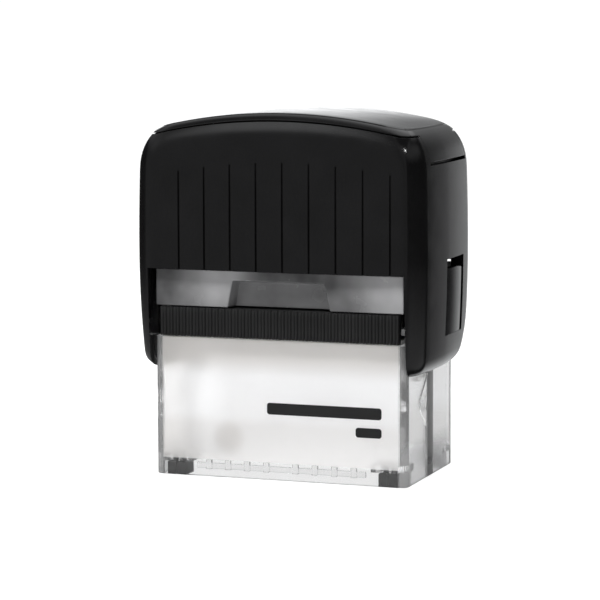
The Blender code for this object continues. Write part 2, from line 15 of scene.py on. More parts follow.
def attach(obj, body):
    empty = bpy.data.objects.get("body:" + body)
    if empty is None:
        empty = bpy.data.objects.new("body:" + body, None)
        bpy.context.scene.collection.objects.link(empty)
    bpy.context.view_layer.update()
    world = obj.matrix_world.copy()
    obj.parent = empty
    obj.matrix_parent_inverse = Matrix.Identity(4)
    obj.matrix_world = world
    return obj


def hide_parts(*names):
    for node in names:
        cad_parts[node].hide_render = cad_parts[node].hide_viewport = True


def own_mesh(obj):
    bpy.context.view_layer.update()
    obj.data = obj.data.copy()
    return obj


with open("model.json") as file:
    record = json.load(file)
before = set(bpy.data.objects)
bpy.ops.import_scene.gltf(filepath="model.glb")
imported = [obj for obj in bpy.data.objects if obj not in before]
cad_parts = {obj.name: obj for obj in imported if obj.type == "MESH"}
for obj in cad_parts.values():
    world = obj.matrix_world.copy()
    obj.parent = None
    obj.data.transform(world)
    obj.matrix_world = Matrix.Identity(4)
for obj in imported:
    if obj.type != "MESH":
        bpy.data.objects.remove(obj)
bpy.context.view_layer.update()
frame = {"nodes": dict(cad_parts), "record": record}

MM = 0.001

# ---------------------------------------------------------------- driving dimensions
CAP_HALF_WIDTH = 39.3
CAP_HALF_DEPTH = 24.3
CAP_BOTTOM = 28.3
CAP_TOP = 90.4           # where the shoulders meet the crowned top
CAP_WIDEST = 58.0
CAP_CORNER = 6.0
CAP_BULGE = 1.2          # plan bulge of the front and rear panels
SIDE_BULGE = 0.4         # plan bulge of the two sides
BOW_REACH = 27.0         # height over which a wall bows inwards by the amounts below
SIDE_BOW = (0.9, 0.5)    # below and above the widest height
FRONT_BOW = (1.2, 0.4)
REAR_BOW = (0.9, 0.4)
SIDE_HEM = (4.0, 3.0)    # height and inset of the rounding at the bottom
FRONT_HEM = (3.0, 2.5)
REAR_HEM = (13.5, 10.2)
SIDE_SHOULDER = (11.1, 6.0)     # height and inset of the rounding at the top
SIDE_SHOULDER_DROP = 11.0           # where it starts, a touch short of its full height
END_SHOULDER = (9.0, 4.6)
CROWN = 4.0
CROWN_HALF = 33.4
CROWN_START = 60.0
WALL = 2.1
ARM_INNER = 34.6
LINER_OUTER = 36.2
LINERS = (((-20.2, -16.5), (33.0, 80.0)),   # y and z of the blocks that thicken each arm
          ((16.5, 20.2), (44.0, 80.0)))
WINDOW_TOP = 54.3
SHELL_RIM = 88.45        # level where the shell ends below the cover
RIM_ROUND = 0.32

COVER_EDGE = 88.75
COVER_BOTTOM = 82.1
COVER_THICK = 1.6
COVER_UNDER_INSET = 2.3
COVER_ROUND = 0.22
EDGE_LINE = 0.28         # depth of the fine line round the cover's top edge
FLAP_LEDGE = 81.3        # top of the shell's sides below the cover's flaps
COVER_FRONT = -14.0
COVER_REAR = 17.0
TONGUE_FRONT = -0.9
TONGUE_REAR = 11.0
TONGUE_BOTTOM = 37.1
TONGUE_TOP = 54.2
TONGUE_THICK = 1.7
TONGUE_PROUD = 0.12      # how far its middle stands out of the side
TONGUE_ARCH = 0.25       # how far its two long edges fall back from there
TONGUE_TIP = 0.55        # drop of its top edge towards the rear
TONGUE_ROUND = 0.35
TONGUE_COLUMNS = 8
TONGUE_ROWS = 10
SLOT_FRONT = -1.9
SLOT_REAR = 13.2
SLOT_BOTTOM = 36.98
SLOT_TOP = 56.7

ROOF_INSET = WALL + 0.02
ROOF_LIP = 0.7           # inset of the raised lip that closes the gap below the cover
ROOF_FLAP_INSET = 1.95
ROOF_FLAP_THICK = 2.0
ROOF_UNDER = 85.6
ROOF_UNDER_INSET = 3.9

GROOVE_COUNT = 9
GROOVE_PITCH = 7.08
GROOVE_MIDDLE = 2.7
GROOVE_WIDTH = 0.55
GROOVE_DEPTH = 0.75
GROOVE_TOP = 82.0
GROOVE_ARCH = 2.6
GROOVE_OVERRUN = 3.0     # how far the cutter passes below the panel's lower edge
FAR_FRONT = -30.0

FASCIA_HALF = 33.5
FASCIA_FRONT = -20.3
FASCIA_BACK = -15.0
FASCIA_LOW = 44.5
FASCIA_TOP = 54.0
FASCIA_ROUND = 0.3
RECESS_FACE = -16.8
RECESS_LOW = FASCIA_LOW - 2
RECESS_MOUTH = ((-14.5, RECESS_LOW), (14.5, RECESS_LOW), (12.5, 51.7), (-12.7, 51.7))
RECESS_FLOOR = ((-13.2, RECESS_LOW), (14.1, RECESS_LOW), (12.3, 50.9), (-11.6, 50.9))
REAR_FASCIA = ((-34.3, 34.3), (15.0, 20.2), (48.3, FASCIA_TOP))
REAR_RECESS = ((-24.0, 24.0), (19.4, 21.0), (49.6, 52.7))
GRIP_HALF = 32.4
GRIP_LOW = 36.7
GRIP_TOP = 44.2
GRIP_BACK = -18.8
GRIP_FRONT = -20.6
GRIP_RIBS = 72
GRIP_VALLEYS = (0.3, 0.42)      # depths of the valleys between the ribs, in turn
GRIP_RIB_EDGE = 0.08
GRIP_CHAMFER = 0.25

TRAY_UNDER = 40.2
TRAY_TOP = 46.2
TRAY_SPAN = ((-31.6, 31.6), (-14.7, 16.6))
TRAY_TONGUE = ((-31.0, 31.0), (-18.4, -14.0))
PAD_POCKET = ((-29.6, 29.6), (-13.1, 13.1), (35.0, 44.7))
TRAY_PANELS = 4
TRAY_PANELS_HALF = 30.0
TRAY_PANEL_Y = (-12.6, 14.8)
TRAY_RIB_HALF = 0.6      # half the width of a rib between two panels, and the depth of a panel
TRAY_ROUND = 0.25

SPRING_RADIUS = 6.6
SPRING_WIRE = 0.55       # radius of the wire
SPRING_TURNS = 7.5
SPRING_STEPS = 28        # rings to a turn
SPRING_SIDES = 10        # sides of the wire
SPRING_END_PITCH = 1.2   # rise of the closed first and last turn
SPRING_FOOT = 50.4
SPRING_HEAD = 88.6

FOOT_X = (26.3, 31.4)
FOOT_Y = (12.6, 18.2)
FOOT_TOP = 3.5
FOOT_SPLIT = 0.15        # half the gap between the two blocks of a foot
FOOT_ROUND = 0.25
BRIDGE_HALF = 1.0        # the bridge joins the two blocks, a little inside them
BRIDGE_INSET = 0.8
BRIDGE_Z = (0.3, FOOT_TOP - 0.5)
STUD_X = (27.5, 30.2)
STUD_Y = 15.2
STUD_FOOT = 2.5
STUD_TOP = 4.8
STUD_RADIUS = 0.9
STUD_TAPER = 0.9

FRONT_FACE = -20.0       # front face of the base
PRINT_BARS = (((-3.2, 27.6), (17.4, 20.4)),     # x and z of each bar
              ((20.7, 27.6), (12.7, 15.2)))
PRINT_Y = (FRONT_FACE - 0.03, FRONT_FACE + 0.02)
PRINT_CORNER = 0.7

# Rounding of the edges of the CAD nodes that stay visible.
NODE_ROUNDS = {"base_frame": 0.25, "die_carriage": 0.3, "text_plate": 0.12, "die_cushion": 0.15,
               "spring_seat": 0.25, "spring_boss": 0.4, "ink_pad": 0.25, "left_axle_pin": 0.25,
               "right_axle_pin": 0.25, "left_cam_follower": 0.15, "right_cam_follower": 0.15}
WELD_DISTANCE = 0.002

PANEL_STEPS = 40
CORNER_STEPS = 9
CAMBER_STEPS = 12
CAMBER = 0.45            # rise of the cover's top from its front and rear edges to the middle
LEAST_RADIUS = 1.0
LEAST_STEP = 0.3         # smallest distance between two stations of a side
PANEL_SHARE = math.sin(math.radians(54.0))      # most of a corner that may belong to the panel
HARD_EDGE = 50.0

FLOOR_HALF = 40000.0
CAMERA_YAW = 20.035      # degrees
CAMERA_TILT = 6.772
CAMERA_ROLL = -0.232
CAMERA_LENS = 162.8
CAMERA_AIM = (-1.4, 0.0, 44.6)
CAMERA_DISTANCE = 708.0

# Bright patches of the world: azimuth, elevation (None for every height), angles at which the patch is full
# and has faded out, strength, and a fade with the height of the view (from, to, first and last share).
SKY_PATCHES = (
    (190.0, None, 14.0, 33.0, 0.85, (0.05, 0.17, 1.0, 0.35)),
    (206.0, None, 5.0, 12.0, 1.3, (0.14, 0.33, 1.0, 0.15)),
    (190.0, 60.0, 18.0, 41.0, 1.0, None),
    (28.0, None, 3.0, 11.0, 0.15, None),
    (335.0, None, 20.0, 60.0, 0.2, None),
    (331.0, 44.0, 4.0, 17.0, 1.15, None),
)
SIDE_GLOW = (0.5, 0.8, 0.0, 1.0)        # glow to the left and right: from, to, first and last share
LOW_GLOW = (-0.3, -0.1, 0.45, 0.0)      # its strength below and above the object, over the height
HIGH_GLOW = (0.22, 0.55, 0.0, 0.3)
AMBIENT = 0.02
SKY_COLOUR = (0.98, 0.99, 1.0, 1.0)
LIGHT_AIM = (0.0, 0.0, 0.05)            # metres


# ---------------------------------------------------------------- mesh helpers
def to_object(name, bm, smooth=40.0):
    """Object of a bmesh drawn in millimetres, smooth but for edges sharper than an angle in degrees."""
    bmesh.ops.recalc_face_normals(bm, faces=bm.faces)
    bmesh.ops.scale(bm, vec=(MM, MM, MM), verts=bm.verts)
    mesh = bpy.data.meshes.new(name)
    bm.to_mesh(mesh)
    bm.free()
    mesh.shade_smooth()
    mesh.set_sharp_from_angle(angle=math.radians(smooth))
    made = bpy.data.objects.new(name, mesh)
    bpy.context.scene.collection.objects.link(made)
    return made


def bake(obj):
    """Replace the mesh of obj by the result of its modifiers."""
    bpy.context.view_layer.update()
    result = obj.evaluated_get(bpy.context.evaluated_depsgraph_get())
    mesh = bpy.data.meshes.new_from_object(result)
    obj.modifiers.clear()
    obj.data = mesh


def settle_normals(obj):
    """Mark the hard edges afresh and weight the shading by face area, so big faces stay flat."""
    mesh = obj.data
    if "custom_normal" in mesh.attributes:
        mesh.attributes.remove(mesh.attributes["custom_normal"])
    mesh.shade_smooth()
    mesh.set_sharp_from_angle(angle=math.radians(HARD_EDGE))
    step = obj.modifiers.new("normals", "WEIGHTED_NORMAL")
    step.keep_sharp = True
    bake(obj)


def combine(obj, operation, other):
    """Boolean of obj with another solid, which is used up."""
    step = obj.modifiers.new(operation.lower(), "BOOLEAN")
    step.operation = operation
    step.solver = "EXACT"
    step.object = other
    bake(obj)
    bpy.data.objects.remove(other, do_unlink=True)


def bevel(obj, width, segments=3, angle=30.0, by_weight=False):
    """Round the edges sharper than an angle, or only those with a bevel weight."""
    step = obj.modifiers.new("bevel", "BEVEL")
    step.width = width * MM
    step.segments = segments
    step.limit_method = "WEIGHT" if by_weight else "ANGLE"
    step.angle_limit = math.radians(angle)
    step.harden_normals = True


def add_box(bm, x, y, z):
    size = Vector((x[1] - x[0], y[1] - y[0], z[1] - z[0]))
    middle = Vector((sum(x) / 2, sum(y) / 2, sum(z) / 2))
    place = Matrix.Translation(middle) @ Matrix.Diagonal((*size, 1.0))
    bmesh.ops.create_cube(bm, size=1.0, matrix=place)


def boxes(name, spans):
    """One object of several boxes, each given by its spans in x, y and z."""
    bm = bmesh.new()
    for x, y, z in spans:
        add_box(bm, x, y, z)
    return to_object(name, bm)


def mirrored(span, side):
    """A span as it is for side 1, and its mirror image for side -1."""
    return tuple(sorted((side * span[0], side * span[1])))


def weighted_bmesh():
    """A bmesh with a layer of bevel weights, and that layer."""
    bm = bmesh.new()
    return bm, bm.edges.layers.float.new("bevel_weight_edge")


def skin(bm, rows, closed=False):
    """Quads between each row of vertices and the next; closed rows run on from their end to their start."""
    for lower, upper in zip(rows, rows[1:]):
        count = len(lower)
        for i in range(count if closed else count - 1):
            n = (i + 1) % count
            bm.faces.new((lower[i], lower[n], upper[n], upper[i]))


def piece(obj, body, finish, nodes=()):
    """Give a finished mesh its finish, attach it to the body it rides on, and hide the CAD nodes it stands
    for.
    """
    obj.data.materials.clear()
    obj.data.materials.append(finish)
    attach(obj, body)
    if nodes:
        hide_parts(*nodes)


# ---------------------------------------------------------------- shape of the cap
def quarter_inset(distance, ellipse):
    """Inset of an elliptical rounding, a given distance past its start."""
    height, width = ellipse
    t = min(max(distance / height, 0.0), 1.0)
    return width * (1.0 - math.sqrt(1.0 - t * t))


def bow(z, amounts):
    """Slight inward bow of a wall away from its widest height."""
    reach = (z - CAP_WIDEST) / BOW_REACH
    return amounts[0 if z < CAP_WIDEST else 1] * reach * reach


def cap_half_width(z):
    """Distance of the two sides from the middle."""
    inset = bow(z, SIDE_BOW)
    inset += quarter_inset(CAP_BOTTOM + SIDE_HEM[0] - z, SIDE_HEM)
    inset += quarter_inset(z - (CAP_TOP - SIDE_SHOULDER_DROP), SIDE_SHOULDER)
    return CAP_HALF_WIDTH - inset


def cap_depth(z, bows, hem):
    """Distance of the front or rear panel from the middle."""
    inset = bow(z, bows)
    inset += quarter_inset(CAP_BOTTOM + hem[0] - z, hem)
    inset += quarter_inset(z - (CAP_TOP - END_SHOULDER[0]), END_SHOULDER)
    return CAP_HALF_DEPTH - inset


def crown(x, z):
    """Extra height of the arched top, fading out below the shoulders."""
    fade = min(max((z - CROWN_START) / (CAP_TOP - CROWN_START), 0.0), 1.0)
    return CROWN * fade * max(1.0 - (x / CROWN_HALF) ** 2, 0.0)


SIDE_STATIONS = (COVER_FRONT, -8.0, SLOT_FRONT, 0.5, 3.0, 5.7, 8.4, 11.0, SLOT_REAR, 15.2, COVER_REAR)
FLAP = (SIDE_STATIONS.index(COVER_FRONT), SIDE_STATIONS.index(COVER_REAR))
SLOT = (SIDE_STATIONS.index(SLOT_FRONT), SIDE_STATIONS.index(SLOT_REAR))


def bulged(x, y, sign):
    """Depth of the front (-1) or rear (1) panel at x, with its slight bulge in plan."""
    return y - sign * CAP_BULGE * (x / CAP_HALF_WIDTH) ** 2


def outline(z, inset=0.0):
    """Closed plan outline at height z: front panel left to right, right side, rear panel, left side."""
    shape_z = min(max(z, CAP_BOTTOM), CAP_TOP)
    width = cap_half_width(shape_z) - inset
    if z < CAP_BOTTOM + SIDE_HEM[0]:
        width = max(width, ARM_INNER)
    radius = max(CAP_CORNER - inset, LEAST_RADIUS)
    flat = width - radius
    depth = {-1: cap_depth(shape_z, FRONT_BOW, FRONT_HEM) - inset,
             1: cap_depth(shape_z, REAR_BOW, REAR_HEM) - inset}
    first = math.asin(min(max((ARM_INNER - flat) / radius, 0.0), PANEL_SHARE))
    panel_end = flat + radius * math.sin(first)

    def panel(sign):
        row = []
        for k in range(PANEL_STEPS + 1):
            x = panel_end * (2 * k / PANEL_STEPS - 1)
            over = max(abs(x) - flat, 0.0)
            y = depth[sign] - radius + math.sqrt(radius * radius - over * over)
            row.append((x, bulged(x, sign * y, sign)))
        return row

    def corner(sign):
        row = []
        for k in range(1, CORNER_STEPS + 1):
            angle = first + (math.pi / 2 - first) * k / CORNER_STEPS
            x = flat + radius * math.sin(angle)
            y = depth[sign] - radius + radius * math.cos(angle)
            row.append((x, bulged(x, sign * y, sign)))
        return row

    front_corner = corner(-1)
    rear_corner = corner(1)
    low = front_corner[-1][1]
    high = rear_corner[-1][1]
    count = len(SIDE_STATIONS)
    side = []
    for k, station in enumerate(SIDE_STATIONS):
        y = max(station, low + LEAST_STEP * (k + 1))
        y = min(y, high - LEAST_STEP * (count - k))
        side.append((width, y))
    middle = (low + high) / 2
    reach = (high - low) / 2
    right = front_corner + side + rear_corner[::-1]
    ease = []
    for x, y in right:
        share = min(abs((y - middle) / reach), 1.0)
        ease.append((x - SIDE_BULGE * share * share * max((x - flat) / radius, 0.0), y))
    front = panel(-1)
    rear = panel(1)
    left = [(-x, y) for x, y in ease]
    return front + ease + rear[::-1] + left[::-1]


COLUMNS = 2 * (PANEL_STEPS + 1) + 2 * (2 * CORNER_STEPS + len(SIDE_STATIONS))
SIDE_START = PANEL_STEPS + 1
SIDE_LENGTH = 2 * CORNER_STEPS + len(SIDE_STATIONS)
REAR_START = SIDE_START + SIDE_LENGTH


def side_column(side, station):
    """Ring index of a side station on the right (side 1) or left (side -1)."""
    if side > 0:
        return SIDE_START + CORNER_STEPS + station
    return COLUMNS - 1 - CORNER_STEPS - station


def ring_vertices(bm, z, inset=0.0, drop=0.0):
    """Vertices of the cap's outline at a height, lifted by the crown."""
    return [bm.verts.new((x, y, z - drop + crown(x, z))) for x, y in outline(z, inset)]


def between(column, first, last):
    """Whether the cell after a ring column lies between two columns."""
    low, high = sorted((first, last))
    return low <= column < high


def shell_cell_open(column, low, high):
    """Whether the shell has a hole between a ring column and the next, and between two levels."""
    middle = (low + high) / 2
    if column < PANEL_STEPS or REAR_START <= column < REAR_START + PANEL_STEPS:
        return middle < WINDOW_TOP
    for side in (1, -1):
        if between(column, side_column(side, SLOT[0]), side_column(side, SLOT[1])):
            if SLOT_BOTTOM < middle < SLOT_TOP:
                return True
        if between(column, side_column(side, FLAP[0]), side_column(side, FLAP[1])):
            if middle > FLAP_LEDGE:
                return True
    return False


SHELL_LEVELS = ([CAP_BOTTOM + rise for rise in (0.0, 0.12, 0.45, 1.0, 1.8, 2.8, 4.0, 6.0)]
                + [SLOT_BOTTOM, 39.5, 42.5, 46.0, 50.0, WINDOW_TOP, SLOT_TOP, 62.0, 68.0, 74.0, 79.4]
                + [FLAP_LEDGE, 82.6, 83.9, 85.2, 86.4, 87.5, SHELL_RIM])


def thick_grid(bm, soft, levels, is_open, thickness):
    """Closed skin with thickness over the ring of columns; its rims get bevel weight."""
    outer = [ring_vertices(bm, z) for z in levels]
    inner = [ring_vertices(bm, z, thickness) for z in levels]
    rows = len(levels) - 1
    state = [[is_open(i, levels[j], levels[j + 1]) for i in range(COLUMNS)] for j in range(rows)]

    def solid(i, j):
        return 0 <= j < rows and not state[j][i % COLUMNS]

    rims = []
    for j in range(rows):
        for i in range(COLUMNS):
            if not solid(i, j):
                continue
            n = (i + 1) % COLUMNS
            bm.faces.new((outer[j][i], outer[j][n], outer[j + 1][n], outer[j + 1][i]))
            bm.faces.new((inner[j][i], inner[j + 1][i], inner[j + 1][n], inner[j][n]))
            for missing, a, b in ((not solid(i, j - 1), (j, i), (j, n)),
                                  (not solid(i, j + 1), (j + 1, i), (j + 1, n)),
                                  (not solid(i - 1, j), (j, i), (j + 1, i)),
                                  (not solid(i + 1, j), (j, n), (j + 1, n))):
                if missing:
                    p, q = outer[a[0]][a[1]], outer[b[0]][b[1]]
                    bm.faces.new((p, q, inner[b[0]][b[1]], inner[a[0]][a[1]]))
                    if a[0] == b[0] and levels[a[0]] == SLOT_BOTTOM:
                        continue
                    rims.append((p, q))
                    rims.append((inner[a[0]][a[1]], inner[b[0]][b[1]]))
    loose = [v for v in bm.verts if not v.link_faces]
    bmesh.ops.delete(bm, geom=loose, context="VERTS")
    for pair in rims:
        bm.edges.get(pair)[soft] = 1.0


def groove_cutter():
    """Thin upright slabs whose tops follow a low arch."""
    spans = []
    for k in range(GROOVE_COUNT):
        x = GROOVE_MIDDLE + GROOVE_PITCH * (k - (GROOVE_COUNT - 1) / 2)
        offset = (x - GROOVE_MIDDLE) / (GROOVE_PITCH * (GROOVE_COUNT - 1) / 2)
        surface = -CAP_HALF_DEPTH + CAP_BULGE * (x / CAP_HALF_WIDTH) ** 2
        spans.append(((x - GROOVE_WIDTH / 2, x + GROOVE_WIDTH / 2), (FAR_FRONT, surface + GROOVE_DEPTH),
                      (WINDOW_TOP - GROOVE_OVERRUN, GROOVE_TOP - GROOVE_ARCH * offset * offset)))
    return boxes("groove_cutter", spans)


def build_shell(finish):
    """Cap shell: grooved front, open windows front and rear, thickened arms."""
    bm, soft = weighted_bmesh()
    thick_grid(bm, soft, SHELL_LEVELS, shell_cell_open, WALL)
    shell = to_object("cap_shell_skin", bm)
    bevel(shell, RIM_ROUND, by_weight=True)
    bake(shell)
    combine(shell, "DIFFERENCE", groove_cutter())
    liners = [(mirrored((ARM_INNER, LINER_OUTER), side), y, z) for side in (-1, 1) for y, z in LINERS]
    combine(shell, "UNION", boxes("arm_liners", liners))
    settle_normals(shell)
    piece(shell, "cap", finish, ["cap_shell"])


def cambered_strips(bm, front, rear, rise):
    """Quads from a row of front vertices to its matching rear row, bulged upwards in between."""
    rows = [front]
    for k in range(1, CAMBER_STEPS):
        t = k / CAMBER_STEPS
        row = []
        for a, b in zip(front, rear):
            place = a.co.lerp(b.co, t)
            place.z += rise * 4.0 * t * (1.0 - t) * (1.0 - (place.x / front[-1].co.x) ** 4)
            row.append(bm.verts.new(place))
        rows.append(row)
    rows.append(rear)
    skin(bm, rows)
    return rows


def fill_top(bm, ring, rise=0.0):
    """Close a ring with a plate from its front half to its rear half."""
    last = SIDE_LENGTH - 1

    def column(side, k):
        return ring[SIDE_START + k] if side > 0 else ring[COLUMNS - 1 - k]

    front = [column(-1, k) for k in reversed(range(CORNER_STEPS))] + ring[:PANEL_STEPS + 1]
    front += [column(1, k) for k in range(CORNER_STEPS)]
    rear = [column(-1, last - k) for k in reversed(range(CORNER_STEPS))]
    rear += ring[REAR_START:REAR_START + PANEL_STEPS + 1][::-1]
    rear += [column(1, last - k) for k in range(CORNER_STEPS)]
    rows = cambered_strips(bm, front, rear, rise)
    for side, end in ((-1, 0), (1, -1)):
        stations = [column(side, CORNER_STEPS + k) for k in range(len(SIDE_STATIONS))]
        bm.faces.new([row[end] for row in rows] + stations[::-1])


def lid(name, band_levels, flap_levels, flap_inset, flap_thick, under_level, under_inset, rise=0.0):
    """Crowned plate with a flap down each side, as one closed skin.

    Its outer band is a list of (level, inset, drop), from the lower edge to the top.
    """
    bm, weight = weighted_bmesh()
    band = [ring_vertices(bm, z, inset, drop) for z, inset, drop in band_levels]
    under = ring_vertices(bm, under_level, under_inset)
    soft = []
    skin(bm, band, closed=True)
    fill_top(bm, band[-1], rise)
    fill_top(bm, under)
    flap_cells = set()
    for side in (1, -1):
        first, last = side_column(side, FLAP[0]), side_column(side, FLAP[1])
        step = 1 if last > first else -1
        columns = list(range(first, last + step, step))
        for a, b in zip(columns, columns[1:]):
            flap_cells.add(min(a, b))
        outer_rows = []
        inner_rows = []
        for z in flap_levels:
            outside = outline(z, flap_inset)
            inside = outline(z, flap_inset + flap_thick)
            for shape, rows in ((outside, outer_rows), (inside, inner_rows)):
                rows.append([bm.verts.new((*shape[c], z + crown(shape[c][0], z))) for c in columns])
        outer_rows.append([band[0][c] for c in columns])
        inner_rows.append([under[c] for c in columns])
        skin(bm, outer_rows)
        skin(bm, inner_rows)
        for k in range(len(columns) - 1):
            bm.faces.new((outer_rows[0][k], outer_rows[0][k + 1],
                          inner_rows[0][k + 1], inner_rows[0][k]))
            soft.append((outer_rows[0][k], outer_rows[0][k + 1]))
        for end in (0, -1):
            for j in range(len(flap_levels)):
                bm.faces.new((outer_rows[j][end], outer_rows[j + 1][end],
                              inner_rows[j + 1][end], inner_rows[j][end]))
                soft.append((outer_rows[j][end], outer_rows[j + 1][end]))
    for i in range(COLUMNS):
        if i not in flap_cells:
            n = (i + 1) % COLUMNS
            bm.faces.new((band[0][i], band[0][n], under[n], under[i]))
            soft.append((band[0][i], band[0][n]))
    for pair in soft:
        bm.edges.get(pair)[weight] = 1.0
    return to_object(name, bm)


def build_cover(finish):
    """Glossy cover over the cap, with a fine line sunk round its top edge."""
    band = [(z, 0.0, 0.0) for z in (COVER_EDGE, 89.15, 89.6, 89.9, 90.12)]
    band += [(90.2, 0.0, EDGE_LINE), (90.27, 0.0, EDGE_LINE), (90.32, 0.0, 0.0), (CAP_TOP, 0.0, 0.0)]
    cover = lid("top_cover_skin", band, [COVER_BOTTOM, 83.0, 84.4, 85.8, 87.1, 88.1], 0.0, COVER_THICK,
                CAP_TOP - COVER_THICK, COVER_UNDER_INSET, CAMBER)
    bevel(cover, COVER_ROUND, by_weight=True)
    bake(cover)
    settle_normals(cover)
    piece(cover, "cover", finish, ["top_cover"])


def build_roof(finish):
    """Bed under the cover, with a raised lip that keeps light out of the gap below it."""
    band = [(86.9, ROOF_INSET, 0.0), (88.5, ROOF_INSET, 0.0), (88.51, ROOF_LIP, 0.0), (88.68, ROOF_LIP, 0.0),
            (88.69, ROOF_INSET + 0.9, 0.0), (87.8, ROOF_INSET + 1.3, 0.0)]
    roof = lid("cap_roof", band, [80.2, 82.0, 83.6, 85.2, 86.3], ROOF_FLAP_INSET, ROOF_FLAP_THICK,
               ROOF_UNDER, ROOF_UNDER_INSET)
    piece(roof, "cap", finish)


def build_tongues(finish):
    """Release tongues: gently arched plates that follow the side, with a sharp foot."""
    across = TONGUE_COLUMNS
    middle = (TONGUE_FRONT + TONGUE_REAR) / 2
    height = TONGUE_TOP - TONGUE_BOTTOM
    heights = [TONGUE_BOTTOM + height * k / TONGUE_ROWS for k in range(TONGUE_ROWS + 1)]
    for side, name in ((-1, "left_release_tongue"), (1, "right_release_tongue")):
        bm, weight = weighted_bmesh()
        outer = []
        inner = []
        for k, z in enumerate(heights):
            reach = outline(z)[side_column(1, SLOT[0] + 3)][0]
            row_out = []
            row_in = []
            for i in range(across + 1):
                t = 2 * i / across - 1
                y = middle + t * (TONGUE_REAR - TONGUE_FRONT) / 2
                drop = TONGUE_TIP * max(t, 0.0) ** 2 if k == TONGUE_ROWS else 0.0
                x = reach + TONGUE_PROUD - TONGUE_ARCH * t * t
                row_out.append(bm.verts.new((side * x, y, z - drop)))
                row_in.append(bm.verts.new((side * (reach - TONGUE_THICK), y, z - drop)))
            outer.append(row_out)
            inner.append(row_in)
        skin(bm, outer)
        skin(bm, inner)
        for i in range(across):
            for j in (0, -1):
                bm.faces.new((outer[j][i], outer[j][i + 1], inner[j][i + 1], inner[j][i]))
        for j in range(len(heights) - 1):
            for i in (0, -1):
                bm.faces.new((outer[j][i], outer[j + 1][i], inner[j + 1][i], inner[j][i]))
        for edge in bm.edges:
            foot = all(v.co.z == TONGUE_BOTTOM for v in edge.verts)
            edge[weight] = 0.0 if foot or edge.calc_face_angle(0.0) < math.radians(HARD_EDGE) else 1.0
        tongue = to_object(name + "_skin", bm)
        bevel(tongue, TONGUE_ROUND, by_weight=True)
        bake(tongue)
        piece(tongue, name.replace("_release", ""), finish, [name])


# ---------------------------------------------------------------- cassette, print, spring and feet
def build_fascia(finish):
    """Cassette face with a finger recess, open at the bottom."""
    fascia = boxes("cassette_fascia_panel", [
        ((-FASCIA_HALF, FASCIA_HALF), (FASCIA_FRONT, FASCIA_BACK), (FASCIA_LOW, FASCIA_TOP))])
    bm = bmesh.new()
    outer = [bm.verts.new((x, FASCIA_FRONT - 1.0, z)) for x, z in RECESS_MOUTH]
    inner = [bm.verts.new((x, RECESS_FACE, z)) for x, z in RECESS_FLOOR]
    bm.faces.new(outer)
    bm.faces.new(inner)
    skin(bm, [outer, inner], closed=True)
    combine(fascia, "DIFFERENCE", to_object("finger_recess_cutter", bm))
    bevel(fascia, FASCIA_ROUND)
    bake(fascia)
    piece(fascia, "cassette", finish, ["cassette_fascia"])


def build_rear_fascia(finish):
    """Bar that closes the base's rear window, with a shallow sunk field."""
    bar = boxes("rear_fascia_panel", [REAR_FASCIA])
    combine(bar, "DIFFERENCE", boxes("rear_recess_cutter", [REAR_RECESS]))
    bevel(bar, FASCIA_ROUND)
    bake(bar)
    piece(bar, "base", finish, ["rear_fascia"])


def build_print(finish):
    """Two plain printed bars on the front wall, in place of lettering."""
    bars = boxes("front_print_bars", [(x, PRINT_Y, z) for x, z in PRINT_BARS])
    corners = bars.modifiers.new("round", "BEVEL")
    corners.width = PRINT_CORNER * MM
    corners.segments = 4
    corners.limit_method = "WEIGHT"
    weights = bars.data.attributes.new("bevel_weight_edge", "FLOAT", "EDGE")
    for edge in bars.data.edges:
        a, b = (bars.data.vertices[i].co for i in edge.vertices)
        weights.data[edge.index].value = 1.0 if abs(a.y - b.y) > 0.01 * MM else 0.0
    bake(bars)
    piece(bars, "base", finish)


def build_grip(finish):
    """Ribbed strip: rounded vertical ribs along the front face."""
    bm = bmesh.new()
    pitch = 2 * GRIP_HALF / GRIP_RIBS
    outer = [(GRIP_HALF, GRIP_BACK), (-GRIP_HALF, GRIP_BACK)]
    for k in range(GRIP_RIBS):
        x = -GRIP_HALF + pitch * k
        valley = GRIP_VALLEYS[k % 2]
        profile = ((0.1, valley), (0.3, GRIP_RIB_EDGE), (0.5, 0.0), (0.7, GRIP_RIB_EDGE), (0.9, valley))
        outer += [(x + share * pitch, GRIP_FRONT + sink) for share, sink in profile]
    rings = []
    for z, pull in ((GRIP_LOW, GRIP_CHAMFER), (GRIP_LOW + GRIP_CHAMFER, 0.0),
                    (GRIP_TOP - GRIP_CHAMFER, 0.0), (GRIP_TOP, GRIP_CHAMFER)):
        rings.append([bm.verts.new((x, y + (pull if y < GRIP_BACK else 0.0), z)) for x, y in outer])
    skin(bm, rings, closed=True)
    bm.faces.new(rings[0])
    bm.faces.new(rings[-1])
    grip = to_object("cassette_grip_ribs", bm, smooth=HARD_EDGE)
    piece(grip, "cassette", finish, ["cassette_grip"])


